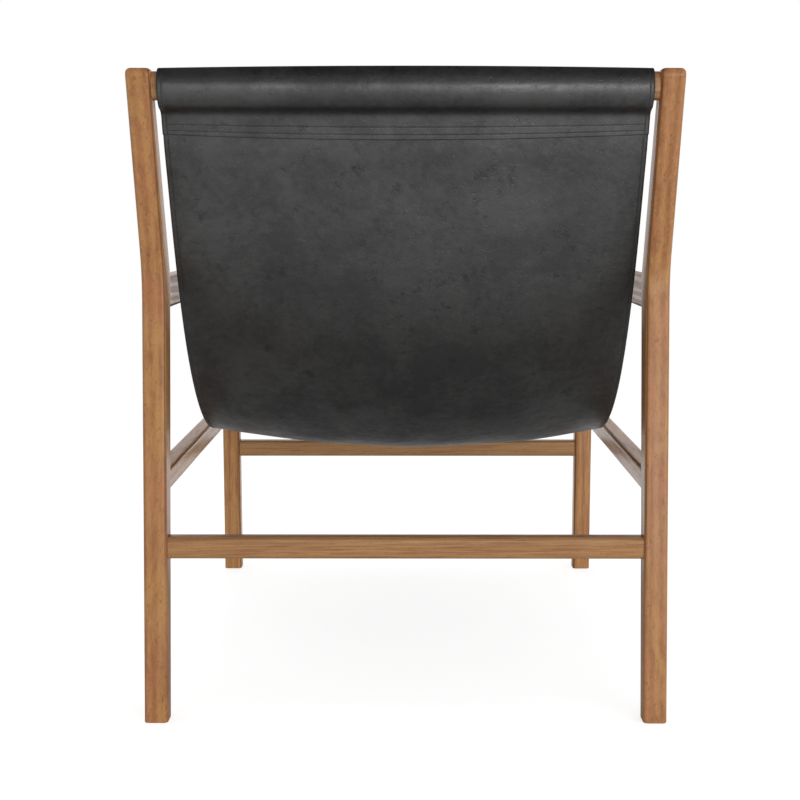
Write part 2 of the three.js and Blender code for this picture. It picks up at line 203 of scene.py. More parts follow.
def weighted_sum(add, parts):
    """The sum of some values, each times its weight."""
    total = 0.0
    for value, weight in parts:
        total = arithmetic(add, "MULTIPLY_ADD", value, weight, total)
    return total


def covered(add, share, under, over):
    """A colour, covered by another one to a share."""
    return add("ShaderNodeMix", {"data_type": "RGBA"}, i0=share, i6=under, i7=over).outputs[2]


def plank_tones(tones, paleness, contrast):
    """Dark, middle and pale tones, spread about the middle one by the contrast, then times the paleness."""
    middle = np.array(tones[1][:3])
    spread = (middle + (np.array(tone[:3]) - middle) * contrast for tone in tones)
    return [tuple(float(value) for value in tone * paleness) + (1.0,) for tone in spread]


def painted_arris_shade(add, place, normal, edge_shade_strength, shaded_side, shaded_above):
    """How much painted shade an edge gets. It is the product of three shares: how far the surface is from
    square to all three axes, how far it faces the shaded side, and how far it is above the height."""
    facings = add("ShaderNodeVectorMath", {"operation": "ABSOLUTE"}, i0=normal).outputs["Vector"]
    sides = add("ShaderNodeSeparateXYZ", Vector=facings).outputs
    steepest = arithmetic(add, "MAXIMUM", sides["X"], sides["Y"])
    squareness = arithmetic(add, "MAXIMUM", steepest, sides["Z"])
    edge_share = ramp(add, squareness, [(0.74, grey(edge_shade_strength)), (0.90, grey(0.0))])
    turned = add("ShaderNodeVectorMath", {"operation": "DOT_PRODUCT"}, i0=normal, i1=shaded_side)
    side_share = ranged(add, turned.outputs["Value"], 0.0, 0.45)
    height = add("ShaderNodeSeparateXYZ", Vector=place).outputs["Z"]
    height_share = ranged(add, height, shaded_above, shaded_above + arris_shade_fade_height)
    side_shade = arithmetic(add, "MULTIPLY", edge_share, side_share)
    return arithmetic(add, "MULTIPLY", side_shade, height_share)


def oiled_wood(
    name, plank, tones, along, grain_shares, redness, dullest, edge_shade_strength, shaded_side, shaded_above
):
    """The tone is the weighted sum of growth rings, streaks, fine lines and clouds, all drawn out along
    the grain. It runs from the plank's dark tone over the middle one to the gold. Red heartwood and
    yellow sapwood cover it in patches, then brown flecks and open pores. The grain is duller where its
    tone is dark. The arrises on the shaded side are painted a darker brown: painted shade."""
    material, tree, shader, add = new_material(name)
    coordinates = add("ShaderNodeTexCoord").outputs
    place, normal = coordinates["Object"], coordinates["Normal"]
    plank_place = add(
        "ShaderNodeMapping",
        Vector=place,
        Location=tuple(shift * plank for shift in plank_shift),
        Rotation=(plank_tilt[0] * math.sin(plank), plank_tilt[1] * math.cos(2 * plank), 0.0),
    ).outputs["Vector"]

    def drawn_out(share):
        """The plank's places, shortened along the grain to a share, which draws a pattern out."""
        stretch = tuple(share if axis == along else 1.0 for axis in "XYZ")
        return add("ShaderNodeMapping", Vector=plank_place, Scale=stretch).outputs["Vector"]

    grain = drawn_out(grain_stretch_shares[along])
    ring_way, ring_scale, ring_waviness = ring_ways[along]
    rings = add(
        "ShaderNodeTexWave",
        {"bands_direction": ring_way},
        Vector=grain,
        Scale=ring_scale,
        Distortion=ring_waviness,
        Detail=2.0,
        **{"Detail Scale": 0.9, "Detail Roughness": 0.55},
    ).outputs["Fac"]
    streaks = noise(add, grain, Scale=300.0, Detail=4.0, Roughness=0.6)
    lines = noise(add, grain, Scale=900.0, Detail=2.0, Roughness=0.5)
    clouds = noise(add, drawn_out(0.42), Scale=28.0, Detail=5.0, Roughness=0.62, Distortion=1.1)
    tone = weighted_sum(add, zip((rings, streaks, lines, clouds), grain_shares))
    dark, mid, gold = tones
    plain = ramp(add, tone, [(0.43, dark), (0.56, mid), (0.69, gold)])

    patches = noise(add, drawn_out(0.25), Scale=34.0, Detail=4.0, Roughness=0.6, Distortion=0.8)
    heart_share = ramp(add, patches, [(0.50, grey(0.0)), (0.64, grey(redness))])
    sap_share = ramp(add, patches, [(0.36, grey(redness)), (0.47, grey(0.0))])
    reddened = covered(add, heart_share, plain, wood_red)
    yellowed = covered(add, sap_share, reddened, wood_yellow)

    cloudiness = grain_shares[3]
    flecks = noise(add, drawn_out(0.45), Scale=210.0, Detail=3.0, Roughness=0.6, Distortion=1.6)
    fleck_share = ramp(add, flecks, [(0.575, grey(0.0)), (0.67, grey(cloudiness))])
    flecked = covered(add, fleck_share, yellowed, pore_brown)
    pores = noise(add, drawn_out(0.16), Scale=1250.0, Detail=1.0, Roughness=0.4)
    pore_share = ramp(add, pores, [(0.27, grey(0.45)), (0.335, grey(0.0))])
    pored = covered(add, pore_share, flecked, pore_brown)

    # Painted shade on the arrises that face the shaded side.
    arris_shade = painted_arris_shade(add, place, normal, edge_shade_strength, shaded_side, shaded_above)
    relief = arithmetic(add, "SUBTRACT", streaks, pore_share)
    inputs = {
        "Base Color": covered(add, arris_shade, pored, arris_shade_brown),
        "Roughness": ranged(add, streaks, 0.3, 0.7, 0.34, 0.48),
        "Specular IOR Level": 0.10,
        "Coat Weight": ranged(add, tone, 0.44, 0.60, dullest, 1.0),
        "Coat Roughness": 0.25,
        "Coat IOR": 1.15,
        "Normal": add("ShaderNodeBump", Strength=0.2, Distance=0.00025, Height=relief).outputs["Normal"],
    }
    fill_inputs(tree, shader, inputs)
    return material


def joined_and_smooth():
    """A geometry group that joins a mesh's loose triangles and shades them as one smooth surface."""
    group = bpy.data.node_groups.new("joined_and_smooth", "GeometryNodeTree")
    for way in ("INPUT", "OUTPUT"):
        group.interface.new_socket("Geometry", in_out=way, socket_type="NodeSocketGeometry")
    start = group.nodes.new("NodeGroupInput")
    merge = group.nodes.new("GeometryNodeMergeByDistance")
    merge.inputs["Distance"].default_value = merge_distance
    smooth = group.nodes.new("GeometryNodeSetShadeSmooth")
    end = group.nodes.new("NodeGroupOutput")
    for source, target in ((start, merge), (merge, smooth), (smooth, end)):
        group.links.new(source.outputs[0], target.inputs[0])
    return group


smooth_group = joined_and_smooth()


def set_material(name, material):
    """Gives a CAD node its one material."""
    nodes[name].data.materials.clear()
    nodes[name].data.materials.append(material)


def finish_wood(name, material):
    """Gives a wooden CAD node its material, and a shading that is flat on its faces and round on its
    edges: each corner's normal is the mean of its faces' normals, weighted by their areas."""
    set_material(name, material)
    nodes[name].modifiers.new("joined", "NODES").node_group = smooth_group
    weighted = nodes[name].modifiers.new("shading", "WEIGHTED_NORMAL")
    weighted.mode = "FACE_AREA"
    weighted.weight = 50


plank = 0
for kind, palenesses, contrast, look in side_pieces:
    for (side, inward), paleness in zip(inner_sides.items(), palenesses):
        plank += 1
        name = f"{kind}_{side}"
        tones = plank_tones((wood_dark, wood_mid, wood_gold), paleness, contrast)
        wood = oiled_wood(
            f"oiled_wood_{name}", plank, tones, edge_shade_strength=arris_shade_strength, shaded_side=inward, **look
        )
        finish_wood(name, wood)


# Cross pieces
# Two stretchers and two oval rails of the same wood are bolted between the side frames. The leather is
# slipped over the oval rails, so only their ends show, and those get no painted shade on their arrises.
cross_dark = (0.190, 0.084, 0.036, 1.0)
cross_mid = (0.292, 0.142, 0.062, 1.0)
cross_gold = (0.390, 0.216, 0.094, 1.0)
# The side of the cross pieces whose arrises get painted shade, towards the sling above them.
forward_and_up = (0.0, -0.5, 0.85)
rail_look = {"edge_shade_strength": 0.0, "redness": 0.5}
stretcher_look = {"edge_shade_strength": 0.7, "redness": 0.15}
first_cross_plank = 21
# Piece, paleness, and what differs in the look of its wood. The top rail's low paleness is painted
# shade, for the shade on its ends beside the legs; the seat rail is given the same.
cross_pieces = [
    ("top_rail", 0.80, rail_look),
    ("front_seat_rail", 0.80, rail_look),
    ("rear_stretcher", 1.0, stretcher_look),
    ("front_stretcher", 1.18, stretcher_look),
]

for plank, (name, paleness, look) in enumerate(cross_pieces, start=first_cross_plank):
    wood = oiled_wood(
        f"oiled_wood_{name}",
        plank,
        plank_tones((cross_dark, cross_mid, cross_gold), paleness, 1.0),
        along="X",
        grain_shares=streaky_grain,
        dullest=0.8,
        shaded_side=forward_and_up,
        shaded_above=full_height,
        **look,
    )
    finish_wood(name, wood)


# Leather sling
# One strip of 3.5 mm black leather. Each end is folded back round its oval rail and sewn down as a flap,
# and the sheet between the two sleeves hangs as back and seat in one. Its middle sags a little.
leather_thickness = 0.0035
half_width = 0.2886
sleeve_slack = 0.0004  # between a rail and the sleeve round it
layer_gap = 0.0004  # between the sheet and the flap stitched to it
rail_corner = 0.011  # radius of an oval rail's corners
pinch_reach = 0.033  # from the middle of a rail to where its flap meets the sheet
flap_length = 0.0257  # from there to the flap's end, at the side edges
flap_droop = 0.0069  # how much longer the flap is in the middle
back_pull = 0.322  # length of the hanging curve's handle at the top rail
seat_pull = 0.518  # the same at the seat rail
sag = 0.0305  # how far the middle hangs below the side edges
sag_skew_share = 0.12  # how much of the sag leans to one side
crown = 0.0026  # how far the top sleeve lifts off its rail in the middle
top_pinch_angle = math.radians(27.0)  # from straight down
back_angle = math.radians(20.4)  # from straight down
seat_angle = math.radians(26.0)  # from level
sleeve_bulges = ((0.027, 0.0018, 0.0072), (0.052, 0.0034, 0.008))  # place, height and reach of each
bulge_start = 0.004  # length over which the bulges begin at the pinch
hem_swell = (0.045, 0.0018, 0.028)  # the sheet's swell backwards below the top hem, given the same way
wave_height = 0.0007
# In each wave's sine, the place across times the first number, the place along times the second, and the
# third are added up.
wave_ways = ((23, 17, 0.6), (-9, 11, 1.9), (41, -29, 2.2))
third_wave_share = 0.6

path_step = 0.0005
curve_points = 4001
wrap_points = 240
bend_softness = 0.0015
pinch_softness = 0.0035
pinch_zone = 0.014  # within which the path is softened more

edge_rounding = 0.0011
rounding_shares = np.array([0.0, 0.12, 0.4, 0.7, 1.0])
stitch_shares = (0.21, 0.49)  # of the flap's length, from its end to each hem line
edge_stitch_inset = 0.0055
groove_depth = 0.00018
groove_width = 0.0008

# Steps between the rows of points that run across the strip.
flap_step = 0.0006
hem_step = 0.0007
sleeve_step = 0.0016
sheet_step = 0.0062
normal_step = 0.0004  # to the places from which a normal is worked out

# How far in from the side edges the lines of points run that follow the strip.
rim_insets = (0.0025, 0.0038)
groove_reach = 0.0012  # to each side of the edge stitching
groove_stations = 7
inner_insets = (0.0075, 0.0095, 0.013, 0.018, 0.025)
middle_inset = 0.034
middle_stations = 48

leather_black = (0.0012, 0.0012, 0.0011, 1.0)
leather_worn = (0.0175, 0.0171, 0.0166, 1.0)
# Darker colour of the cut edges, and painted shade in the stitch grooves.
edge_dark_and_groove_shade = (0.0035, 0.0034, 0.0033, 1.0)


def rail_middle(name):
    """How far forward and how high the middle of a rail is."""
    low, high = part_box(name)
    return np.array([-(low.y + high.y) / 2, (low.z + high.z) / 2])


def rail_flats(name):
    """Half the length of a rail's flat sides: half its size, less the radius of its corners."""
    low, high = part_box(name)
    return np.array([(high.y - low.y) / 2 - rail_corner, (high.z - low.z) / 2 - rail_corner])


def heading(angle_from_down):
    """The direction at an angle forward of straight down."""
    return np.array([math.sin(angle_from_down), -math.cos(angle_from_down)])


def cubic(start, pull_start, pull_end, end, share):
    """A cubic curve through its two ends, pulled towards the two points between them."""
    t = share[:, None]
    near = start * (1 - t) ** 3 + 3 * pull_start * t * (1 - t) ** 2
    return near + 3 * pull_end * t**2 * (1 - t) + end * t**3


def bell(distance, height, reach):
    """A bell curve of a height, which falls off with the square of the distance over its reach."""
    return height * np.exp(-((distance / reach) ** 2))


def lengths_along(points):
    """The distance run along a line of points, from its first point to each of them."""
    steps = np.linalg.norm(np.diff(points, axis=0), axis=1)
    return np.concatenate([[0.0], np.cumsum(steps)])


def left_of(points):
    """The unit normals on the left of a line of points."""
    tangent = np.gradient(points, axis=0)
    tangent /= np.linalg.norm(tangent, axis=1)[:, None]
    return np.stack([-tangent[:, 1], tangent[:, 0]], axis=1)


top_middle = rail_middle("top_rail")
seat_middle = rail_middle("front_seat_rail")
rising = np.array([math.cos(seat_angle), math.sin(seat_angle)])
top_pinch = top_middle + pinch_reach * heading(top_pinch_angle)
seat_pinch = seat_middle - pinch_reach * rising
hanging_curve = cubic(
    top_pinch,
    top_pinch + back_pull * heading(back_angle),
    seat_pinch - seat_pull * rising,
    seat_pinch,
    np.linspace(0.0, 1.0, curve_points),
)
swell_place, swell_height, swell_reach = hem_swell
hem_rise = bell(lengths_along(hanging_curve) - swell_place, swell_height, swell_reach)
hanging_curve -= left_of(hanging_curve) * hem_rise[:, None]
hanging_lengths = lengths_along(hanging_curve)
hanging_length = hanging_lengths[-1]
wrap_radius = rail_corner + sleeve_slack + leather_thickness / 2
layer_offset = (leather_thickness + layer_gap) / 2
longest_flap = flap_length + flap_droop


def beside_curve(start, end, side):
    """The hanging curve between two lengths along it, set off to the sitter's side or the flap's side.
    It gives by the square of a sine, which is 0 at the two pinches and 1 halfway."""
    count = max(2, round(abs(end - start) / path_step))
    along = np.linspace(start, end, count)
    base = np.stack([np.interp(along, hanging_lengths, hanging_curve[:, axis]) for axis in (0, 1)], axis=1)
    normal = left_of(base) * (1.0 if end > start else -1.0)
    give_share = np.sin(np.pi * along / hanging_length) ** 2
    return base + side * layer_offset * normal, side * give_share, np.zeros(count)


def touch_angle(rail, corner, source, turn):
    """The angle round a rail's corner at which a straight run from the source touches the leather."""
    away = source - (rail_middle(rail) + corner * rail_flats(rail))
    return math.atan2(away[1], away[0]) + turn * math.acos(wrap_radius / np.linalg.norm(away))


def round_rail(rail, start, end, rises):
    """The leather round an oval rail, from one angle to another: each point is the centre of the
    nearest corner, plus the radius in the direction of the angle. It lifts by the sine of the angle."""
    angle = np.linspace(start, end, wrap_points)
    direction = np.stack([np.cos(angle), np.sin(angle)], axis=1)
    points = rail_middle(rail) + np.sign(direction) * rail_flats(rail) + wrap_radius * direction
    return points, np.zeros(angle.size), rises * np.maximum(0.0, np.sin(angle))


top_flap = beside_curve(longest_flap, 0.0, -1)
sheet_run = beside_curve(0.0, hanging_length, 1)
seat_flap = beside_curve(hanging_length, hanging_length - longest_flap, -1)
top_wrap = round_rail(
    "top_rail",
    touch_angle("top_rail", np.array([-1, -1]), top_flap[0][-1], -1) + 2 * math.pi,
    touch_angle("top_rail", np.array([1, -1]), sheet_run[0][0], 1),
    1.0,
)
seat_wrap = round_rail(
    "front_seat_rail",
    touch_angle("front_seat_rail", np.array([-1, 1]), sheet_run[0][-1], -1) + 2 * math.pi,
    touch_angle("front_seat_rail", np.array([-1, -1]), seat_flap[0][0], 1),
    0.0,
)


def bulged_sleeve(pinch, wrap):
    """The loop from its pinch up over the rail, standing off the rail's back by some low bell curves of
    the distance below the rail's top, because stiff leather doesn't lie close round a bend."""
    points = np.concatenate([pinch[None], wrap[0]])
    lengths = lengths_along(points)
    even = np.arange(0.0, lengths[-1], path_step)
    loop = np.stack([np.interp(even, lengths, points[:, axis]) for axis in (0, 1)], axis=1)
    below_top = even[np.argmax(loop[:, 1])] - even
    bulge = sum(bell(below_top - place, height, reach) for place, height, reach in sleeve_bulges)
    bulge *= np.clip(even / bulge_start, 0.0, 1.0)
    lift = np.interp(even, lengths, np.concatenate([[0.0], wrap[2]]))
    return loop + left_of(loop) * bulge[:, None], np.zeros(even.size), lift


top_wrap = bulged_sleeve(top_flap[0][-1], top_wrap)
runs = [top_flap, top_wrap, sheet_run, seat_wrap, seat_flap]
rough_path = np.concatenate([run[0] for run in runs])
rough_lengths = lengths_along(rough_path)
run_ends = np.cumsum([len(run[0]) for run in runs])
pinches = [rough_lengths[run_ends[0] - 1], rough_lengths[run_ends[1]]]
pinches += [rough_lengths[run_ends[2] - 1], rough_lengths[run_ends[3]]]
strip_length = rough_lengths[-1]
path_lengths = np.arange(0.0, strip_length + path_step, path_step)


def on_path(values):
    """Values of the rough path's points, read off at even lengths."""
    return np.interp(path_lengths, rough_lengths, values)


def softened(values, softness):
    """A run of values, evened out by a bell curve, with its two ends carried straight on."""
    reach = int(4 * softness / path_step)
    weights = np.exp(-0.5 * (np.arange(-reach, reach + 1) * path_step / softness) ** 2)
    padded = np.pad(values, reach, mode="reflect", reflect_type="odd")
    return np.convolve(padded, weights / weights.sum(), mode="valid")


def soft_path(axis):
    """One coordinate of the path, softened everywhere a little and at the pinches more."""
    values = on_path(rough_path[:, axis])
    nearest = np.min([np.abs(path_lengths - pinch) for pinch in pinches], axis=0)
    share = np.exp(-((nearest / pinch_zone) ** 4))
    return softened(values, bend_softness) * (1 - share) + softened(values, pinch_softness) * share


path = np.stack([soft_path(0), soft_path(1)], axis=1)
path_normals = left_of(path)
path_give = on_path(np.concatenate([run[1] for run in runs]))
path_lift = on_path(np.concatenate([run[2] for run in runs]))


def strip_at(across, along):
    """Points of the strip's middle surface, at distances from its centre line and along its path.
    The path is the same at every station, and towards the centre line it sags below the side edges
    and lifts off the top rail, by shares that fall off with the square of the distance. The sag leans
    a little to one side, as on a strip that was slipped on by hand. Low waves are the product of two
    slanting sines plus a share of a third."""
    middleness = 1.0 - (across / half_width) ** 2
    leaning_sag = sag * (1.0 - sag_skew_share * across / half_width)
    forward, up, toward_x, toward_z, give_share, lift = (
        np.interp(along, path_lengths, values)
        for values in (*path.T, *path_normals.T, path_give, path_lift)
    )
    first, second, third = (np.sin(way[0] * across + way[1] * along + way[2]) for way in wave_ways)
    waves = first * second + third_wave_share * third
    drop = np.abs(give_share) * wave_height * waves - leaning_sag * give_share * middleness
    return np.stack(
        [across, -(forward + drop * toward_x), up + drop * toward_z + crown * lift * middleness],
        axis=-1,
    )


def facing(across, along):
    """Unit normals of the strip on its grain side: the cross product of small steps along and across."""
    near = np.clip(along - normal_step, 0, strip_length)
    far = np.clip(along + normal_step, 0, strip_length)
    run = strip_at(across, far) - strip_at(across, near)
    side = strip_at(across + normal_step, along) - strip_at(across - normal_step, along)
    normal = np.cross(run, side)
    return normal / np.linalg.norm(normal, axis=-1, keepdims=True)


def flap_at(across):
    """The flap's length, which bows out towards the middle by the square of the distance from it."""
    return flap_length + flap_droop * (1.0 - (across / half_width) ** 2)


def flap_fade(distance):
    """A share that is 0 at a pinch, 1 at a flap's length from it, and 0 again at three."""
    return np.clip(np.minimum(distance / longest_flap, 1.5 - distance / (2 * longest_flap)), 0, 1)


def placed_along(level, across):
    """The path length at a level of the strip, where levels follow the flaps' slightly bowed ends."""
    short = longest_flap - flap_at(across)
    last = strip_length - longest_flap
    start_flap = np.clip(1 - level / longest_flap, 0, 1)
    end_flap = np.clip((level - last) / longest_flap, 0, 1)
    fade_top = flap_fade(level - pinches[1])
    fade_seat = flap_fade(pinches[2] - level)
    return level + short * (start_flap - end_flap - fade_top + fade_seat)


def levels_between(start, end, step):
    """Levels from the start up to, but without, the end, about a step apart."""
    return np.linspace(start, end, max(2, round((end - start) / step)), endpoint=False)


def groove(distance):
    """The depth that a row of stitches presses the leather in, as a bell curve of the distance."""
    return bell(distance, groove_depth, groove_width)


top_hem = pinches[1] + longest_flap
seat_hem = pinches[2] - longest_flap
stitch_levels = [share * longest_flap for share in stitch_shares]
flap_lines = stitch_levels + [strip_length - level for level in stitch_levels]
sheet_lines = [top_hem - level for level in stitch_levels] + [seat_hem + level for level in stitch_levels]

levels = np.concatenate(
    [
        rounding_shares[:-1] * edge_rounding,
        levels_between(edge_rounding, longest_flap, flap_step),
        levels_between(longest_flap, pinches[1], sleeve_step),
        levels_between(pinches[1], top_hem, hem_step),
        levels_between(top_hem, seat_hem, sheet_step),
        levels_between(seat_hem, pinches[2], hem_step),
        levels_between(pinches[2], strip_length - longest_flap, sleeve_step),
        levels_between(strip_length - longest_flap, strip_length - edge_rounding, flap_step),
        strip_length - rounding_shares[::-1] * edge_rounding,
    ]
)
groove_start, groove_end = edge_stitch_inset - groove_reach, edge_stitch_inset + groove_reach
insets = np.concatenate(
    [
        rounding_shares * edge_rounding,
        rim_insets,
        np.linspace(groove_start, groove_end, groove_stations),
        inner_insets,
    ]
)
middle_reach = half_width - middle_inset
middle = np.linspace(-middle_reach, middle_reach, middle_stations)
stations = np.concatenate([insets - half_width, middle, half_width - insets[::-1]])
across_grid, level_grid = np.meshgrid(stations, levels)
along_grid = placed_along(level_grid, across_grid)
side_distance = half_width - np.abs(across_grid)
end_distance = np.minimum(level_grid, strip_length - level_grid)
border_distance = np.minimum(side_distance, end_distance)

edge_groove = groove(side_distance - edge_stitch_inset)
inside_edge_lines = np.abs(across_grid) < half_width - edge_stitch_inset
hem_grooves = sum(groove(level_grid - line) for line in flap_lines + sheet_lines) * inside_edge_lines
grain_groove = np.maximum(edge_groove, hem_grooves)
bare_back = (level_grid > top_hem) & (level_grid < seat_hem)
flesh_groove = edge_groove * bare_back
from_rounding = np.clip(edge_rounding - border_distance, 0, edge_rounding)
rounded_off = np.sqrt(edge_rounding**2 - from_rounding**2) - edge_rounding
half_thickness = leather_thickness / 2 + rounded_off
middle_surface = strip_at(across_grid, along_grid)
surface_normals = facing(across_grid, along_grid)
grain_face = middle_surface + surface_normals * (half_thickness - grain_groove)[..., None]
flesh_face = middle_surface - surface_normals * (half_thickness - flesh_groove)[..., None]


def new_mesh_object(name, points, faces, smooth=True):
    """A mesh object from an array of points and a list of faces."""
    mesh = bpy.data.meshes.new(name)
    mesh.from_pydata(points.reshape(-1, 3).tolist(), [], faces)
    mesh.polygons.foreach_set("use_smooth", np.full(len(mesh.polygons), smooth))
    mesh.update()
    piece = bpy.data.objects.new(name, mesh)
    bpy.context.scene.collection.objects.link(piece)
    return piece


def quads(rows, columns, start=0):
    """The corners of every cell of a grid of points that is numbered row by row."""
    row, column = np.meshgrid(np.arange(rows - 1), np.arange(columns - 1), indexing="ij")
    corner = start + row * columns + column
    return np.stack([corner, corner + 1, corner + columns + 1, corner + columns], axis=-1).reshape(-1, 4)


def closed_skin(rows, columns):
    """Faces of two grids, one on each side of the strip, joined round their four borders."""
    other = rows * columns
    border = np.concatenate(
        [
            np.arange(columns),
            np.arange(1, rows) * columns + columns - 1,
            (rows - 1) * columns + np.arange(columns - 2, -1, -1),
            np.arange(rows - 2, 0, -1) * columns,
        ]
    )
    ahead = np.roll(border, -1)
    rim = np.stack([border, border + other, ahead + other, ahead], axis=-1)
    return np.concatenate([quads(rows, columns), quads(rows, columns, other)[:, ::-1], rim])


def add_point_values(mesh, name, values):
    """An attribute of the mesh with a number for each point."""
    attribute = mesh.attributes.new(name, "FLOAT", "POINT")
    attribute.data.foreach_set("value", values.astype(np.float32))


skin_faces = closed_skin(*across_grid.shape).tolist()
skin_points = np.concatenate([grain_face.reshape(-1, 3), flesh_face.reshape(-1, 3)])
sling = new_mesh_object("sling_leather", skin_points, skin_faces)
cut_edge = np.clip(2.0 - border_distance / edge_rounding, 0.0, 1.0).ravel()
add_point_values(sling.data, "cut_edge", np.tile(cut_edge, 2))
# How far the stitches press in, which the leather reads for painted shade in the grooves.
pressed_in = np.concatenate([grain_groove.ravel(), flesh_groove.ravel()]) / groove_depth
add_point_values(sling.data, "groove", pressed_in)

# The mesh's map is the strip laid out flat, in shares of its length.
strip_map = sling.data.uv_layers.new(name="strip")
flat_places = np.stack([across_grid + half_width, along_grid], axis=-1).reshape(-1, 2) / strip_length
corner_points = np.zeros(len(sling.data.loops), np.int32)
sling.data.loops.foreach_get("vertex_index", corner_points)
strip_map.data.foreach_set("uv", flat_places[corner_points % across_grid.size].astype(np.float32).ravel())


def between(add, share, first, second):
    """The value at a share of the way from the first to the second."""
    return add("ShaderNodeMix", {"data_type": "FLOAT"}, i0=share, i2=first, i3=second).outputs[0]


def black_leather():
    """Full-grain leather. Its tone lies between clouds and flecks, and where it is paler it is glossier.
    Dark dull stains cover it in spots. Cut edges are dark and matt, and the stitch grooves are matt with
    painted shade. Its relief is fine pebbles and creases, less pits that gather where the stains are, on
    low wide swells."""
    material, tree, shader, add = new_material("black_leather")
    place = add("ShaderNodeTexCoord").outputs["Object"]
    clouds = noise(add, place, Scale=11.0, Detail=6.0, Roughness=0.62, Distortion=0.4)
    flecks = noise(add, place, Scale=95.0, Detail=4.0, Roughness=0.7)
    tone = between(add, 0.36, clouds, flecks)
    plain = ramp(add, tone, [(0.42, leather_black), (0.60, leather_worn)])
    stains = noise(add, place, Scale=42.0, Detail=6.0, Roughness=0.72)
    stain_share = ramp(add, stains, [(0.57, grey(0.0)), (0.68, grey(0.8))])
    stained = covered(add, stain_share, plain, leather_black)
    edge = add("ShaderNodeAttribute", {"attribute_name": "cut_edge"}).outputs["Fac"]
    pressed = add("ShaderNodeAttribute", {"attribute_name": "groove"}).outputs["Fac"]
    # Darker at the cut edges, and painted shade in the stitch grooves.
    edge_and_groove_share = arithmetic(add, "MAXIMUM", edge, pressed)
    rough = ranged(add, tone, 0.38, 0.62, 0.54, 0.37)
    gloss = ramp(add, tone, [(0.42, grey(0.86)), (0.60, grey(1.0))])

    pebbles = add("ShaderNodeTexVoronoi", {"feature": "F1"}, Vector=place, Scale=760.0).outputs["Distance"]
    creases = noise(add, place, Scale=210.0, Detail=4.0, Roughness=0.6, Distortion=0.3)
    swells = noise(add, place, Scale=52.0, Detail=3.0, Roughness=0.5)
    scatter = noise(add, place, Scale=300.0, Detail=2.0, Roughness=0.5)
    gathered = arithmetic(add, "MULTIPLY_ADD", stains, 0.55, scatter)
    pits = ranged(add, gathered, 0.90, 0.98, 0.0, 0.8)
    relief = arithmetic(add, "SUBTRACT", between(add, 0.6, pebbles, creases), pits)
    swollen = add("ShaderNodeBump", Strength=1.0, Distance=0.0007, Height=swells).outputs["Normal"]
    grain = add("ShaderNodeBump", Strength=0.5, Distance=0.00030, Height=relief, Normal=swollen)
    inputs = {
        "Base Color": covered(add, edge_and_groove_share, stained, edge_dark_and_groove_shade),
        "Roughness": arithmetic(add, "MULTIPLY_ADD", edge_and_groove_share, 0.4, rough),
        "Specular IOR Level": 0.77,
        "Specular Tint": covered(add, stain_share, gloss, grey(0.62)),
        "Normal": grain.outputs["Normal"],
    }
    fill_inputs(tree, shader, inputs)
    return material


sling.data.materials.append(black_leather())
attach(sling, "root")
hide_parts("leather_sling")


# Stitching
# Waxed black thread. A line runs down each side edge of the strip, and two lines sew each flap to the
# sheet, so the hem lines show on the flap and again on the sitter's side. Each stitch is its own short
# thread, which rises out of one hole and dips into the next.
stitch_pitch = 0.0040
stitch_gap = 0.0007
thread_radius = 0.00036
thread_sides = 6
thread_rings = 4
thread_sinking = 0.00028  # of the middle of a stitch's thread below the leather's face
thread_height = leather_thickness / 2 - thread_sinking
thread_dip = 0.0006  # how much deeper the thread is at a stitch's ends
row_end_gap = 0.003  # from the strip's end to the first stitch
row_gap = 0.002  # from a row's end to the hem or the row that it stops short of
thread_dark = grey(0.006)
thread_pale = grey(0.020)


def stitch_row(fixed, start, end, lengthwise, side):
    """Tubes of a row of stitches on one face of the strip. Each centre line follows the leather for one
    stitch, and its height over the leather's middle rises and falls as half a sine wave."""
    count = int((end - start) / stitch_pitch)
    first = start + (end - start - count * stitch_pitch) / 2 + stitch_gap / 2
    share = np.linspace(0.0, 1.0, thread_rings)
    run = first + stitch_pitch * np.arange(count)[:, None] + (stitch_pitch - stitch_gap) * share
    rest = np.full_like(run, fixed)
    across, level = (rest, run) if lengthwise else (run, rest)
    along = placed_along(level, across)
    normal = side * facing(across, along)
    height = thread_height - thread_dip * (1 - np.sin(np.pi * share))
    centre = strip_at(across, along) + normal * height[:, None]
    tangent = np.gradient(centre, axis=1)
    beside = np.cross(tangent, normal)
    beside /= np.linalg.norm(beside, axis=-1, keepdims=True)
    angle = np.arange(thread_sides) * 2 * np.pi / thread_sides
    ring = np.cos(angle)[:, None] * beside[:, :, None] + np.sin(angle)[:, None] * normal[:, :, None]
    return centre[:, :, None] + thread_radius * ring


def tube_faces(count):
    """Side and end faces of so many separate tubes, each with the same rings and sides."""
    ring, side = np.meshgrid(np.arange(thread_rings - 1), np.arange(thread_sides), indexing="ij")
    corner, ahead = ring * thread_sides + side, ring * thread_sides + (side + 1) % thread_sides
    wall = np.stack([corner, ahead, ahead + thread_sides, corner + thread_sides], axis=-1).reshape(-1, 4)
    last = (thread_rings - 1) * thread_sides
    starts = np.arange(count) * thread_rings * thread_sides
    walls = (starts[:, None, None] + wall).reshape(-1, 4).tolist()
    near = (starts[:, None] + np.arange(thread_sides)[::-1]).tolist()
    far = (starts[:, None] + last + np.arange(thread_sides)).tolist()
    return walls + near + far


def black_thread():
    """Twisted waxed thread, with a fine uneven twist and a soft wax sheen."""
    material, tree, shader, add = new_material("black_thread")
    place = add("ShaderNodeTexCoord").outputs["Object"]
    twist = noise(add, place, Scale=2200.0, Detail=2.0)
    inputs = {
        "Base Color": ramp(add, twist, [(0.35, thread_dark), (0.65, thread_pale)]),
        "Roughness": 0.6,
        "Normal": add("ShaderNodeBump", Strength=0.4, Distance=0.0001, Height=twist).outputs["Normal"],
    }
    fill_inputs(tree, shader, inputs)
    return material


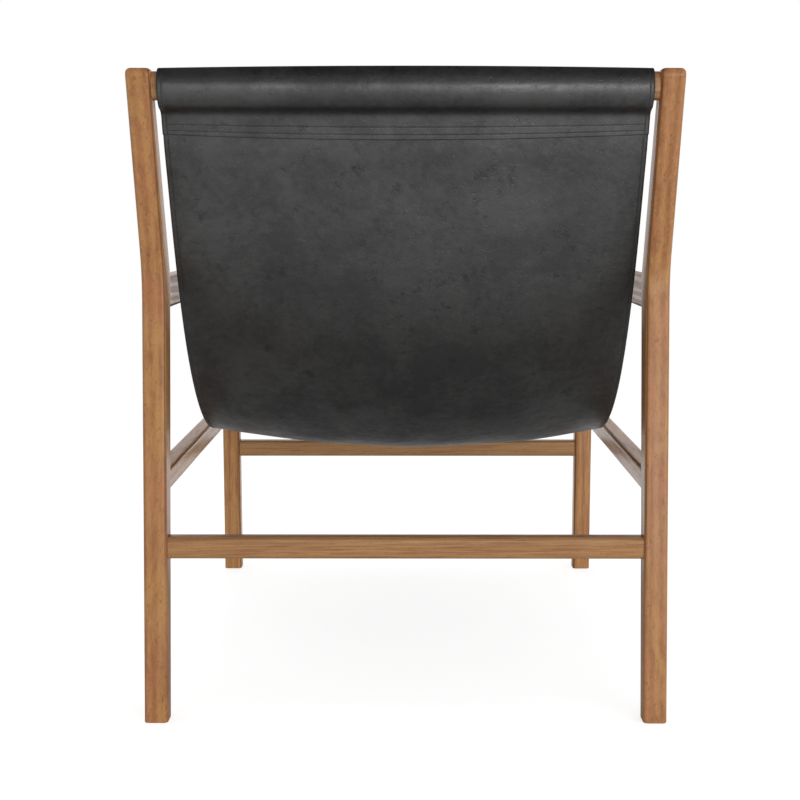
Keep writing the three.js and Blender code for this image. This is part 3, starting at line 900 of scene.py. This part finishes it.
edge_line = half_width - edge_stitch_inset
edge_rows = []
for across in (-edge_line, edge_line):
    edge_rows.append(stitch_row(across, row_end_gap, strip_length - row_end_gap, True, 1))
    edge_rows.append(stitch_row(across, top_hem + row_gap, seat_hem - row_gap, True, -1))
hem_end = edge_line - row_gap
hem_rows = [stitch_row(level, -hem_end, hem_end, False, 1) for level in flap_lines + sheet_lines]
thread_material = black_thread()
for name, rows in (("edge_stitching", edge_rows), ("hem_stitching", hem_rows)):
    tubes = np.concatenate(rows)
    thread = new_mesh_object(name, tubes, tube_faces(len(tubes)))
    thread.data.materials.append(thread_material)
    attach(thread, "root")


# Fittings
# Socket-head bolts of dark bronzed steel hold the cross pieces in barrel nuts of bright zinc, which lie
# in holes under each end. Beech dowels keep the glued joints and stop the cross pieces from turning.
bolt_dull = (0.020, 0.017, 0.014, 1.0)
bolt_bright = (0.055, 0.045, 0.036, 1.0)
nut_dull = (0.42, 0.43, 0.44, 1.0)
nut_bright = (0.60, 0.61, 0.62, 1.0)
bolt_roughness = (0.30, 0.44)
nut_roughness = (0.32, 0.46)
beech_pale = (0.62, 0.44, 0.26, 1.0)
beech_brown = (0.50, 0.33, 0.18, 1.0)


def fitting_steel(name, dull, bright, roughness):
    """Turned steel with small uneven patches in its plating, which are paler where they are rougher."""
    material, tree, shader, add = new_material(name)
    place = add("ShaderNodeTexCoord").outputs["Object"]
    patches = noise(add, place, Scale=240.0, Detail=4.0)
    inputs = {
        "Base Color": ramp(add, patches, [(0.35, dull), (0.65, bright)]),
        "Roughness": ranged(add, patches, 0.3, 0.7, *roughness),
        "Metallic": 0.95,
    }
    fill_inputs(tree, shader, inputs)
    return material


def dowel_beech():
    """Pale beech with fine brown flecks."""
    material, tree, shader, add = new_material("dowel_beech")
    place = add("ShaderNodeTexCoord").outputs["Object"]
    flecks = noise(add, place, Scale=700.0, Detail=3.0)
    body = ramp(add, flecks, [(0.4, beech_pale), (0.7, beech_brown)])
    fill_inputs(tree, shader, {"Base Color": body, "Roughness": 0.7})
    return material


fitting_materials = {
    "_bolt_": fitting_steel("bolt_steel", bolt_dull, bolt_bright, bolt_roughness),
    "_barrel_nut_": fitting_steel("nut_steel", nut_dull, nut_bright, nut_roughness),
    "_dowel_": dowel_beech(),
}
for name in sorted(nodes):
    for kind, material in fitting_materials.items():
        if kind in name:
            set_material(name, material)


# Floor and studio
# A pale floor fades into a white surround. A broad soft key light stands low behind the chair, towards
# the sitter's right, with a lower panel beside it that only gloss shows. A weaker fill light, which gloss
# doesn't show, stands in front of the chair.
floor_radius = 9.0
floor_sides = 64
floor_tone = 0.60
floor_lift = 0.70  # what the camera sees the floor give off by itself
fade_start = 0.9  # distances from the chair's middle between which the floor turns white
fade_end = 2.4
gloss_centre = (0.0, 0.15, 0.0)
gloss_start = 0.45  # the same for what gloss shows, from the gloss centre
gloss_end = 1.00
world_level = 0.62
wall_top = 0.10  # upward share of a direction at which the white walls begin to darken in gloss
ceiling_start = 0.50
ceiling_level = 0.10
chair_middle = (0.0, 0.0, 0.45)
key_place = (-1.4, 3.3, 0.52)
key_size = (3.6, 1.0)
key_power = 67.0
sheen_place = (-2.0, 3.1, 0.30)
sheen_size = (3.6, 0.6)
sheen_power = 28.0
fill_place = (0.7, -3.3, 1.2)
fill_size = (2.6, 1.6)
fill_power = 14.0

floor_angles = np.linspace(0, 2 * np.pi, floor_sides, endpoint=False)
floor_rim = floor_radius * np.stack([np.cos(floor_angles), np.sin(floor_angles), 0 * floor_angles], axis=1)
floor = new_mesh_object("floor", floor_rim, [list(range(floor_sides))], smooth=False)


def ray_kinds(add, *kinds):
    """1 for rays of any of these kinds, and 0 for the rest."""
    light_path = add("ShaderNodeLightPath").outputs
    found = light_path[kinds[0]]
    for kind in kinds[1:]:
        found = arithmetic(add, "MAXIMUM", found, light_path[kind])
    return found


def floor_material():
    """A pale matt floor, which turns to plain white away from the chair so that it has no horizon. What
    the camera sees and what gloss shows turn white at distances of their own."""
    material, tree, shader, add = new_material("pale_floor")
    tree.nodes.remove(shader)
    place = add("ShaderNodeTexCoord").outputs["Object"]
    distance = add("ShaderNodeVectorMath", {"operation": "LENGTH"}, i0=place).outputs["Value"]
    reach = add("ShaderNodeVectorMath", {"operation": "DISTANCE"}, i0=place, i1=gloss_centre).outputs["Value"]
    fade = ranged(add, distance, fade_start, fade_end, smooth=True)
    gloss_fade = ranged(add, reach, gloss_start, gloss_end, smooth=True)
    directly = ray_kinds(add, "Is Camera Ray")
    in_gloss = ray_kinds(add, "Is Glossy Ray", "Is Transmission Ray")
    fade_directly = arithmetic(add, "MULTIPLY", fade, directly)
    white_share = arithmetic(add, "MULTIPLY_ADD", gloss_fade, in_gloss, fade_directly)
    lift_strength = arithmetic(add, "MULTIPLY", directly, floor_lift)
    matt = add("ShaderNodeBsdfDiffuse", Color=grey(floor_tone)).outputs[0]
    lift = add("ShaderNodeEmission", Color=grey(1.0), Strength=lift_strength).outputs[0]
    white = add("ShaderNodeEmission", Color=grey(1.0), Strength=1.0).outputs[0]
    lifted = add("ShaderNodeAddShader", i0=matt, i1=lift).outputs[0]
    shown = add("ShaderNodeMixShader", i0=white_share, i1=lifted, i2=white).outputs[0]
    tree.links.new(shown, tree.nodes["Material Output"].inputs["Surface"])
    return material


floor.data.materials.append(floor_material())


def white_studio():
    """A dim even light on the chair, which the camera sees as plain white all round, and which gloss
    shows as white walls under a darker ceiling."""
    world = bpy.data.worlds.new("white_studio")
    bpy.context.scene.world = world
    world.use_nodes = True
    tree = world.node_tree
    add = node_adder(tree)
    even = tree.nodes["Background"]
    fill_inputs(tree, even, {"Color": grey(1.0), "Strength": world_level})
    direction = add("ShaderNodeTexCoord").outputs["Generated"]
    height = add("ShaderNodeSeparateXYZ", Vector=direction).outputs["Z"]
    walls = ranged(add, height, wall_top, ceiling_start, 1.0, ceiling_level, smooth=True)
    brightest = arithmetic(add, "MAXIMUM", walls, ray_kinds(add, "Is Camera Ray"))
    white = add("ShaderNodeBackground", Color=grey(1.0), Strength=brightest).outputs[0]
    seen = ray_kinds(add, "Is Camera Ray", "Is Glossy Ray", "Is Transmission Ray")
    shown = add("ShaderNodeMixShader", i0=seen, i1=even.outputs[0], i2=white).outputs[0]
    tree.links.new(shown, tree.nodes["World Output"].inputs["Surface"])


white_studio()


def soft_light(name, place, size, power):
    """A rectangular lamp at a place, turned to face the middle of the chair."""
    lamp = bpy.data.lights.new(name, "AREA")
    lamp.shape = "RECTANGLE"
    lamp.size, lamp.size_y = size
    lamp.energy = power
    lamp_object = bpy.data.objects.new(name, lamp)
    lamp_object.location = place
    towards_chair = Vector(chair_middle) - Vector(place)
    lamp_object.rotation_euler = towards_chair.to_track_quat("-Z", "Y").to_euler()
    lamp_object.visible_camera = False
    bpy.context.scene.collection.objects.link(lamp_object)
    return lamp_object


soft_light("key", key_place, key_size, key_power)
soft_light("sheen", sheen_place, sheen_size, sheen_power).visible_diffuse = False
soft_light("fill", fill_place, fill_size, fill_power).visible_glossy = False


# Camera
# It stands about 1.7 m behind the chair, a little below the top of its back, and looks slightly down
# through a long lens.
sensor_width = 36.0
lens_length = 63.063
lens_shift = -0.00996
nearest_seen = 0.05
farthest_seen = 60.0
camera_place = (-0.00598, 2.06089, 0.62959)
camera_turn = (82.3865, -0.0171, -179.892)  # in degrees

camera_data = bpy.data.cameras.new("camera")
camera_data.sensor_width = sensor_width
camera_data.lens = lens_length
camera_data.shift_x = lens_shift
camera_data.clip_start = nearest_seen
camera_data.clip_end = farthest_seen
camera = bpy.data.objects.new("camera", camera_data)
camera.location = camera_place
camera.rotation_euler = tuple(math.radians(angle) for angle in camera_turn)
bpy.context.scene.collection.objects.link(camera)
bpy.context.scene.camera = camera
bpy.context.scene.view_settings.view_transform = "Standard"
